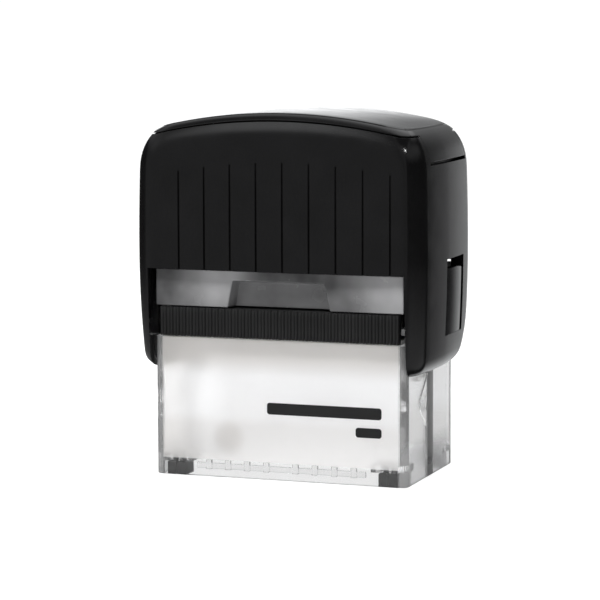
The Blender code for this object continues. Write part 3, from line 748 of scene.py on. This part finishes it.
def build_tray(finish):
    """Cassette tray: pad pocket below, sunk panels between cross ribs on top, a tongue towards the grip."""
    tray = boxes("cassette_tray_body", [(*TRAY_SPAN, (TRAY_UNDER, TRAY_TOP))])
    combine(tray, "UNION", boxes("tray_tongue", [(*TRAY_TONGUE, (TRAY_UNDER, GRIP_TOP - 0.1))]))
    combine(tray, "DIFFERENCE", boxes("pad_pocket", [PAD_POCKET]))
    width = 2 * TRAY_PANELS_HALF / TRAY_PANELS
    sunk = (TRAY_TOP - TRAY_RIB_HALF, TRAY_TOP + 1.0)
    panels = []
    for k in range(TRAY_PANELS):
        x = -TRAY_PANELS_HALF + width * k
        panels.append(((x + TRAY_RIB_HALF, x + width - TRAY_RIB_HALF), TRAY_PANEL_Y, sunk))
    combine(tray, "DIFFERENCE", boxes("tray_panels", panels))
    bevel(tray, TRAY_ROUND)
    bake(tray)
    piece(tray, "cassette", finish, ["cassette_tray"])


def build_spring(finish):
    """Return spring with closed end turns."""
    low = SPRING_FOOT + SPRING_WIRE
    high = SPRING_HEAD - SPRING_WIRE
    free_turns = SPRING_TURNS - 2
    pitch = (high - low - 2 * SPRING_END_PITCH) / free_turns
    bm = bmesh.new()
    rings = []
    for k in range(int(SPRING_TURNS * SPRING_STEPS) + 1):
        turn = k / SPRING_STEPS
        left = SPRING_TURNS - turn
        z = low + SPRING_END_PITCH * min(turn, 1.0) + pitch * min(max(turn - 1.0, 0.0), free_turns)
        z += SPRING_END_PITCH * max(1.0 - left, 0.0)
        angle = 2 * math.pi * turn
        out = Vector((math.cos(angle), math.sin(angle), 0.0))
        ring = []
        for i in range(SPRING_SIDES):
            around = 2 * math.pi * i / SPRING_SIDES
            reach = SPRING_RADIUS + SPRING_WIRE * math.cos(around)
            height = z + SPRING_WIRE * math.sin(around)
            ring.append(bm.verts.new(out * reach + Vector((0.0, 0.0, height))))
        rings.append(ring)
    skin(bm, rings, closed=True)
    bm.faces.new(rings[0])
    bm.faces.new(rings[-1])
    spring = to_object("return_spring_coil", bm, smooth=HARD_EDGE)
    piece(spring, "base", finish, ["return_spring"])
    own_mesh(spring)


def build_feet(finish):
    """Rubber feet: two blocks side by side, joined inside, with two small studs on top."""
    middle = (FOOT_X[0] + FOOT_X[1]) / 2
    halves = ((FOOT_X[0], middle - FOOT_SPLIT), (middle + FOOT_SPLIT, FOOT_X[1]))
    bridge_x = (middle - BRIDGE_HALF, middle + BRIDGE_HALF)
    bridge_y = (FOOT_Y[0] + BRIDGE_INSET, FOOT_Y[1] - BRIDGE_INSET)
    for side, left_right in ((-1, "left"), (1, "right")):
        for end, front_rear in ((-1, "front"), (1, "rear")):
            name = "foot_" + front_rear + "_" + left_right
            foot = boxes(name + "_pads", [
                (mirrored(x, side), mirrored(FOOT_Y, end), (0.0, FOOT_TOP)) for x in halves])
            combine(foot, "UNION", boxes(name + "_bridge", [
                (mirrored(bridge_x, side), mirrored(bridge_y, end), BRIDGE_Z)]))
            studs = bmesh.new()
            for x in STUD_X:
                place = Matrix.Translation((side * x, end * STUD_Y, (STUD_FOOT + STUD_TOP) / 2))
                bmesh.ops.create_cone(studs, cap_ends=True, segments=20, radius1=STUD_RADIUS,
                                      radius2=STUD_RADIUS * STUD_TAPER,
                                      depth=STUD_TOP - STUD_FOOT, matrix=place)
            combine(foot, "UNION", to_object(name + "_studs", studs))
            bevel(foot, FOOT_ROUND)
            bake(foot)
            piece(foot, "base", finish, [name])


# ---------------------------------------------------------------- materials
COLOUR_PATCH = 9.0       # size of the patches where the colour and the gloss drift
GLOSS_PATCH = 5.4

# Looks of the clear base, painted shade included. The spans are in millimetres along one axis.
FROSTED_Y = (17.8, 18.5)        # front and rear walls, which are frosted
FROSTED_X = (31.8, 32.4)        # their clear borders, left and right
FROSTED_Z = (4.5, 5.0)          # and along the foot
SLOT_CUT_Y = (2.43, 2.47)       # cut faces of the axle slots
SLOT_CUT_X = (31.8, 31.9)
DECK_CUT_FRONT = (-15.2, -14.9)     # front edge of the deck, from where it starts
DECK_CUT_REAR = (-14.05, -14.0)     # to where it ends
DECK_CUT_Z = (36.4, 36.6)
LOW_HAZE_AND_SHADE_Z = (5.0, 12.5)            # painted shade at the foot of the clear parts, where a real haze also makes them less clear
PILLAR_Y = (16.5, 18.0)         # faint milk at the four upright corners
PILLAR_X = (31.5, 32.5)
HEAD_SHADE_Z = (26.0, 32.5)     # painted shade on the frosted walls: below the cap, along the foot, and to the left
FOOT_SHADE_Z = (13.5, 17.5)
LEFT_SHADE_X = (-31.0, -19.0)
SHADE_SPOT = (-13.7, 10.7)       # x and z of a spot of painted shade on the front wall, for the blurred mechanism behind
SHADE_SPOT_RADIUS = 5.2
CLEAR_COLOUR = (0.96, 0.963, 0.966)
LOW_SHADE_COLOUR = (0.8, 0.802, 0.805)
MILK_COLOUR = (0.97, 0.97, 0.975)
MILK_SHADE = (0.74, 0.72, 0.7)
CUT_FACE_SHADE_COLOUR = (0.1, 0.1, 0.1)

# Looks of the smoked face, with painted highlights beside the finger recess.
SMOKE_DARK = (0.035, 0.035, 0.036)
SMOKE_HIGHLIGHT = (0.31, 0.31, 0.315)
SMOKE_FACE_Y = (FASCIA_FRONT + 0.2, FASCIA_FRONT + 0.5)
LEFT_HIGHLIGHT_RISE = (-31.0, -15.5)
LEFT_HIGHLIGHT_FALL = (-13.5, -4.0)
RIGHT_HIGHLIGHT_RISE = (12.5, 34.0)


class Nodes:
    """Small helper round one material's node tree."""

    def __init__(self, name):
        self.material = bpy.data.materials.new(name)
        self.material.use_nodes = True
        self.tree = self.material.node_tree
        self.shader = self.tree.nodes["Principled BSDF"]
        self.place = self.tree.nodes.new("ShaderNodeTexCoord").outputs["Object"]

    def node(self, kind, **values):
        made = self.tree.nodes.new(kind)
        for key, value in values.items():
            setattr(made, key, value)
        return made

    def link(self, source, target):
        self.tree.links.new(source, target)

    def noise(self, size_mm, detail=3.0, stretch=(1.0, 1.0, 1.0)):
        spread = self.node("ShaderNodeMapping")
        spread.inputs["Scale"].default_value = stretch
        self.link(self.place, spread.inputs["Vector"])
        made = self.node("ShaderNodeTexNoise")
        made.inputs["Scale"].default_value = 1000.0 / size_mm
        made.inputs["Detail"].default_value = detail
        self.link(spread.outputs["Vector"], made.inputs["Vector"])
        return made.outputs["Fac"]

    def ranged(self, source, low, high, from_low=0.3, from_high=0.7, smooth=False):
        made = self.node("ShaderNodeMapRange")
        made.interpolation_type = "SMOOTHSTEP" if smooth else "LINEAR"
        made.inputs["From Min"].default_value = from_low
        made.inputs["From Max"].default_value = from_high
        made.inputs["To Min"].default_value = low
        made.inputs["To Max"].default_value = high
        self.link(source, made.inputs["Value"])
        return made.outputs["Result"]

    def fade(self, source, span, first, last, smooth=True):
        """Blend from first to last over a span in millimetres along an axis."""
        return self.ranged(source, first, last, span[0] * MM, span[1] * MM, smooth)

    def mix_colour(self, factor, first, second):
        made = self.node("ShaderNodeMix", data_type="RGBA")
        self.link(factor, made.inputs["Factor"])
        for name, value in (("A", first), ("B", second)):
            socket = next(each for each in made.inputs if each.name == name and each.type == "RGBA")
            if isinstance(value, tuple):
                socket.default_value = (*value, 1.0)
            else:
                self.link(value, socket)
        return next(each for each in made.outputs if each.type == "RGBA")

    def maths(self, operation, first, second):
        made = self.node("ShaderNodeMath", operation=operation)
        for socket, value in zip(made.inputs, (first, second)):
            if isinstance(value, (int, float)):
                socket.default_value = value
            else:
                self.link(value, socket)
        return made.outputs["Value"]

    def axes(self):
        split = self.node("ShaderNodeSeparateXYZ")
        self.link(self.place, split.inputs["Vector"])
        return split.outputs

    def bump(self, height, strength, distance_mm):
        made = self.node("ShaderNodeBump")
        made.inputs["Strength"].default_value = strength
        made.inputs["Distance"].default_value = distance_mm * MM
        self.link(height, made.inputs["Height"])
        self.link(made.outputs["Normal"], self.shader.inputs["Normal"])

    def set(self, **values):
        for key, value in values.items():
            self.shader.inputs[key.replace("_", " ")].default_value = value


def moulded(name, colour, low_rough, high_rough, grain_mm=0.12, grain=0.05, variation=0.15, **values):
    """Moulded plastic or rubber: faint colour drift, roughness patches and a fine grain."""
    made = Nodes(name)
    made.set(**values)
    darker = tuple(c * (1.0 - variation) for c in colour)
    lighter = tuple(c * (1.0 + variation) for c in colour)
    drift = made.ranged(made.noise(COLOUR_PATCH), 0.0, 1.0)
    made.link(made.mix_colour(drift, darker, lighter), made.shader.inputs["Base Color"])
    made.link(made.ranged(made.noise(GLOSS_PATCH), low_rough, high_rough), made.shader.inputs["Roughness"])
    made.bump(made.noise(grain_mm, 2.0), grain, 0.02)
    return made.material


def clear_base_material():
    """Clear polystyrene: front and rear walls frosted milky inside a clear border, sides plain clear.

    The cut faces of the axle slots and of the deck get painted shade, as thick clear plastic looks dark
    there.
    The frosted walls get painted shade below the cap, along the foot, towards the left and in a soft spot for
    the blurred mechanism behind; the clear parts are painted darker towards the foot, besides a real haze.
    """
    made = Nodes("clear_plastic_moulded")
    x, y, z = made.axes()
    made.set(IOR=1.49, Specular_IOR_Level=0.5)
    beside = made.maths("ABSOLUTE", x, 0.0)
    ahead = made.maths("ABSOLUTE", y, 0.0)

    panel = made.maths("MULTIPLY", made.fade(ahead, FROSTED_Y, 0.0, 1.0),
                       made.fade(beside, FROSTED_X, 1.0, 0.0))
    frosted = made.maths("MULTIPLY", panel, made.fade(z, FROSTED_Z, 0.0, 1.0))
    # painted shade: the cut faces of the axle slots and of the deck are drawn dark, as thick clear plastic
    # looks there
    slot = made.maths("MULTIPLY", made.fade(ahead, SLOT_CUT_Y, 1.0, 0.0, smooth=False),
                      made.fade(beside, SLOT_CUT_X, 0.0, 1.0, smooth=False))
    deck = made.maths("MULTIPLY", made.fade(y, DECK_CUT_FRONT, 0.0, 1.0, smooth=False),
                      made.fade(y, DECK_CUT_REAR, 1.0, 0.0, smooth=False))
    deck = made.maths("MULTIPLY", deck, made.fade(z, DECK_CUT_Z, 0.0, 1.0, smooth=False))
    cut_face_shade = made.maths("MAXIMUM", slot, deck)

    clouds = made.ranged(made.noise(14.0, 2.0), -0.1, 0.1)
    milk = made.maths("MULTIPLY", frosted, made.maths("ADD", clouds, 0.9))
    milk = made.maths("MAXIMUM", milk, cut_face_shade)
    haze_and_shade = made.fade(z, LOW_HAZE_AND_SHADE_Z, 1.0, 0.0)
    dull = made.maths("MULTIPLY", haze_and_shade, made.ranged(panel, 0.4, 0.02, 0.0, 1.0))
    pillar = made.maths("MULTIPLY", made.fade(ahead, PILLAR_Y, 0.0, 0.3),
                        made.fade(beside, PILLAR_X, 0.0, 1.0))
    milk = made.maths("MAXIMUM", milk, made.maths("MAXIMUM", dull, pillar))
    made.link(made.ranged(milk, 0.985, 0.6, 0.0, 1.0), made.shader.inputs["Transmission Weight"])
    made.link(made.ranged(milk, 0.1, 0.36, 0.0, 1.0), made.shader.inputs["Roughness"])

    # painted shade on the frosted walls: below the cap, along the foot, towards the left and in a soft spot
    head_shade = made.fade(z, HEAD_SHADE_Z, 0.0, 0.9)
    foot = made.fade(z, FOOT_SHADE_Z, 0.38, 0.0)
    left = made.fade(x, LEFT_SHADE_X, 0.35, 0.0)
    aside = made.maths("SUBTRACT", x, SHADE_SPOT[0] * MM)
    above = made.maths("SUBTRACT", z, SHADE_SPOT[1] * MM)
    spread = made.maths("ADD", made.maths("MULTIPLY", aside, aside), made.maths("MULTIPLY", above, above))
    shade_spot = made.ranged(spread, 0.42, 0.0, 0.0, (SHADE_SPOT_RADIUS * MM) ** 2, smooth=True)
    shade_spot = made.maths("MULTIPLY", shade_spot, made.fade(y, (-1.0, 1.0), 1.0, 0.0, smooth=False))
    shaded = made.maths("ADD", made.maths("ADD", head_shade, foot), made.maths("ADD", left, shade_spot))

    milky = made.mix_colour(shaded, MILK_COLOUR, MILK_SHADE)
    # painted shade: the clear parts are drawn darker towards the foot
    clear = made.mix_colour(haze_and_shade, CLEAR_COLOUR, LOW_SHADE_COLOUR)
    walls = made.mix_colour(frosted, clear, milky)
    made.link(made.mix_colour(cut_face_shade, walls, CUT_FACE_SHADE_COLOUR), made.shader.inputs["Base Color"])
    made.bump(made.noise(1.4, 2.0), 0.05, 0.05)
    return made.material


def smoked_material():
    """Glossy smoke-grey plastic of the cassette front: cloudy, with painted highlights as paler sweeps beside
    the finger recess.
    """
    made = Nodes("fascia_gloss_smoke")
    x, y, z = made.axes()
    # painted highlights: paler sweeps to the left and right of the finger recess, stronger upwards, on the
    # front face only
    left = made.maths("MULTIPLY", made.fade(x, LEFT_HIGHLIGHT_RISE, 0.0, 0.8),
                      made.fade(x, LEFT_HIGHLIGHT_FALL, 1.0, 0.0))
    right = made.fade(x, RIGHT_HIGHLIGHT_RISE, 0.0, 1.0)
    rise = made.fade(z, (FASCIA_LOW, FASCIA_TOP), 0.6, 1.1, smooth=False)
    highlight_sweep = made.maths("MULTIPLY", made.maths("ADD", left, right), rise)
    highlight_sweep = made.maths("MULTIPLY", highlight_sweep, made.fade(y, SMOKE_FACE_Y, 1.0, 0.0, smooth=False))
    blots = made.ranged(made.noise(7.0, 2.0), -0.1, 0.09)
    # the faces behind the front face are a paler grey than the front face
    inside = made.fade(y, SMOKE_FACE_Y, 0.12, 0.4, smooth=False)
    shade = made.maths("ADD", highlight_sweep, made.maths("ADD", blots, inside))
    made.link(made.mix_colour(shade, SMOKE_DARK, SMOKE_HIGHLIGHT), made.shader.inputs["Base Color"])
    made.link(made.ranged(made.noise(5.0), 0.14, 0.3), made.shader.inputs["Roughness"])
    made.bump(made.noise(3.0, 2.0), 0.05, 0.05)
    made.set(Coat_Weight=0.3, Coat_Roughness=0.08)
    return made.material


def felt_material():
    """Ink-soaked felt with short fibres across the pad."""
    made = Nodes("ink_felt_soaked")
    fibres = made.noise(0.5, 6.0, (1.0, 2.5, 1.0))
    made.link(made.mix_colour(fibres, (0.008, 0.008, 0.012), (0.035, 0.035, 0.05)),
              made.shader.inputs["Base Color"])
    made.link(made.ranged(fibres, 0.6, 0.95), made.shader.inputs["Roughness"])
    made.bump(fibres, 0.6, 0.2)
    made.set(Sheen_Weight=0.2)
    return made.material


def steel_material():
    """Drawn wire with fine lines along it."""
    made = Nodes("spring_steel_drawn")
    lines = made.noise(0.3, 3.0, (1.0, 1.0, 6.0))
    made.link(made.mix_colour(lines, (0.42, 0.42, 0.43), (0.62, 0.61, 0.6)), made.shader.inputs["Base Color"])
    made.link(made.ranged(lines, 0.18, 0.38), made.shader.inputs["Roughness"])
    made.bump(lines, 0.1, 0.02)
    made.set(Metallic=1.0)
    return made.material


SLOTS = {part["node"]: part["material_slot"] for part in frame["record"]["subparts"]}


def dress_nodes(finishes):
    """Give every CAD node that stays visible its finish and softened edges."""
    for name, node in frame["nodes"].items():
        if node.hide_render:
            continue
        node.data.materials.clear()
        node.data.materials.append(finishes[SLOTS[name]])
        if name in NODE_ROUNDS:
            weld = node.modifiers.new("weld", "WELD")
            weld.merge_threshold = WELD_DISTANCE * MM
            bevel(node, NODE_ROUNDS[name], segments=2, angle=35.0)


# ---------------------------------------------------------------- stage
def build_floor():
    """Plain white ground, large enough that its edge is never seen."""
    bm = bmesh.new()
    bmesh.ops.create_grid(bm, x_segments=1, y_segments=1, size=FLOOR_HALF)
    floor = to_object("floor", bm)
    made = Nodes("floor_white")
    made.shader.inputs["Base Color"].default_value = (0.35, 0.35, 0.35, 1.0)
    made.set(Roughness=1.0, Specular_IOR_Level=0.0, Emission_Strength=0.9)
    made.shader.inputs["Emission Color"].default_value = (1.0, 1.0, 1.0, 1.0)
    floor.data.materials.append(made.material)
    floor.visible_glossy = False


def direction(azimuth, elevation):
    """Unit vector: azimuth in degrees from the front (-Y) towards the right, elevation above the floor."""
    a, e = math.radians(azimuth), math.radians(elevation)
    return Vector((math.sin(a) * math.cos(e), -math.cos(a) * math.cos(e), math.sin(e)))


def area_light(name, azimuth, elevation, distance, size, power):
    """Rectangular lamp aimed at the object, in metres and watts."""
    light = bpy.data.lights.new(name, "AREA")
    light.shape = "RECTANGLE"
    light.size, light.size_y = size
    light.energy = power
    made = bpy.data.objects.new(name, light)
    away = direction(azimuth, elevation)
    made.location = Vector(LIGHT_AIM) + away * distance
    made.rotation_euler = away.to_track_quat("Z", "Y").to_euler()
    bpy.context.scene.collection.objects.link(made)
    return made


def build_world():
    """Bright sweep behind and overhead, dim towards the front, so the black gloss reads as black."""
    world = bpy.data.worlds.new("studio")
    world.use_nodes = True
    bpy.context.scene.world = world
    tree = world.node_tree
    view = tree.nodes.new("ShaderNodeTexCoord").outputs["Generated"]

    def maths(operation, first, second=None, kind="ShaderNodeMath", output="Value"):
        made = tree.nodes.new(kind)
        made.operation = operation
        for socket, source in zip(made.inputs, (first, second)):
            if isinstance(source, bpy.types.NodeSocket):
                tree.links.new(source, socket)
            elif source is not None:
                socket.default_value = source
        return made.outputs[output]

    def ranged(source, from_low, from_high, low, high):
        made = tree.nodes.new("ShaderNodeMapRange")
        made.interpolation_type = "SMOOTHSTEP"
        made.inputs["From Min"].default_value = from_low
        made.inputs["From Max"].default_value = from_high
        made.inputs["To Min"].default_value = low
        made.inputs["To Max"].default_value = high
        tree.links.new(source, made.inputs["Value"])
        return made.outputs["Result"]

    flat = maths("MULTIPLY", view, (1.0, 1.0, 0.0), "ShaderNodeVectorMath", "Vector")
    level = maths("NORMALIZE", flat, None, "ShaderNodeVectorMath", "Vector")
    split = tree.nodes.new("ShaderNodeSeparateXYZ")
    tree.links.new(view, split.inputs["Vector"])
    sideways, height = split.outputs["X"], split.outputs["Z"]

    total = None
    for azimuth, elevation, full, gone, strength, fade in SKY_PATCHES:
        seen = level if elevation is None else view
        cosine = maths("DOT_PRODUCT", seen, direction(azimuth, elevation or 0.0), "ShaderNodeVectorMath")
        patch = ranged(cosine, math.cos(math.radians(gone)), math.cos(math.radians(full)), 0.0, strength)
        if fade:
            patch = maths("MULTIPLY", patch, ranged(height, *fade))
        total = patch if total is None else maths("ADD", total, patch)
    beside = ranged(maths("ABSOLUTE", sideways), *SIDE_GLOW)
    glow = maths("ADD", ranged(height, *LOW_GLOW), ranged(height, *HIGH_GLOW))
    total = maths("ADD", total, maths("MULTIPLY", beside, glow))

    sky = tree.nodes["Background"]
    tree.links.new(maths("ADD", total, AMBIENT), sky.inputs["Strength"])
    sky.inputs["Color"].default_value = SKY_COLOUR


def build_camera():
    """Long lens from the front right and a little above, with a slight roll."""
    yaw, roll = math.radians(CAMERA_YAW), math.radians(CAMERA_ROLL)
    back = direction(CAMERA_YAW, CAMERA_TILT)
    right = Vector((math.cos(yaw), math.sin(yaw), 0.0))
    up = back.cross(right)
    turned_right = right * math.cos(roll) + up * math.sin(roll)
    turned_up = up * math.cos(roll) - right * math.sin(roll)
    lens = bpy.data.cameras.new("camera")
    lens.lens = CAMERA_LENS
    lens.sensor_width = 36.0
    lens.clip_start = 0.01
    camera = bpy.data.objects.new("camera", lens)
    axes = Matrix((turned_right, turned_up, back)).transposed().to_4x4()
    place = Vector(CAMERA_AIM) + back * CAMERA_DISTANCE
    camera.matrix_world = Matrix.Translation(place * MM) @ axes
    bpy.context.scene.collection.objects.link(camera)
    bpy.context.scene.camera = camera


# ---------------------------------------------------------------- whole scene
finishes = {
    "black_gloss": moulded("black_gloss_moulded", (0.0036, 0.0035, 0.0037), 0.14, 0.2, variation=0.2),
    "black_matt": moulded("black_matt_moulded", (0.012, 0.012, 0.0122), 0.38, 0.5, grain=0.12),
    "clear_plastic": clear_base_material(),
    "fascia_gloss": smoked_material(),
    "foot_rubber": moulded("foot_rubber_moulded", (0.005, 0.005, 0.0053), 0.55, 0.75, grain=0.2,
                           Specular_IOR_Level=0.3),
    "die_rubber": moulded("die_rubber_engraved", (0.4, 0.39, 0.37), 0.6, 0.8, grain=0.25),
    "die_foam": moulded("die_foam_cells", (0.55, 0.55, 0.55), 0.85, 0.95, grain_mm=0.4, grain=0.6),
    "ink_felt": felt_material(),
    "white_plastic": moulded("white_acetal", (0.72, 0.72, 0.71), 0.3, 0.42, variation=0.03),
    "spring_steel": steel_material(),
    "card_paper": moulded("card_paper_white", (0.78, 0.77, 0.74), 0.75, 0.9, grain_mm=0.2, grain=0.25,
                          variation=0.04),
}

build_shell(finishes["black_gloss"])
build_roof(finishes["black_matt"])
build_cover(finishes["black_gloss"])
build_tongues(finishes["black_gloss"])
build_fascia(finishes["fascia_gloss"])
build_rear_fascia(finishes["fascia_gloss"])
build_tray(finishes["black_matt"])
build_grip(finishes["black_matt"])
build_spring(finishes["spring_steel"])
build_print(finishes["black_matt"])
build_feet(finishes["foot_rubber"])
dress_nodes(finishes)

build_floor()
build_world()
area_light("overhead_softbox", 180.0, 72.0, 0.9, (0.8, 0.6), 6.0).visible_glossy = False
area_light("front_fill", -10.0, 50.0, 0.9, (0.5, 0.3), 8.0).visible_glossy = False
area_light("corner_spark", 42.0, 40.0, 0.8, (0.03, 0.03), 0.4)
build_camera()
bpy.context.scene.view_settings.view_transform = "Standard"
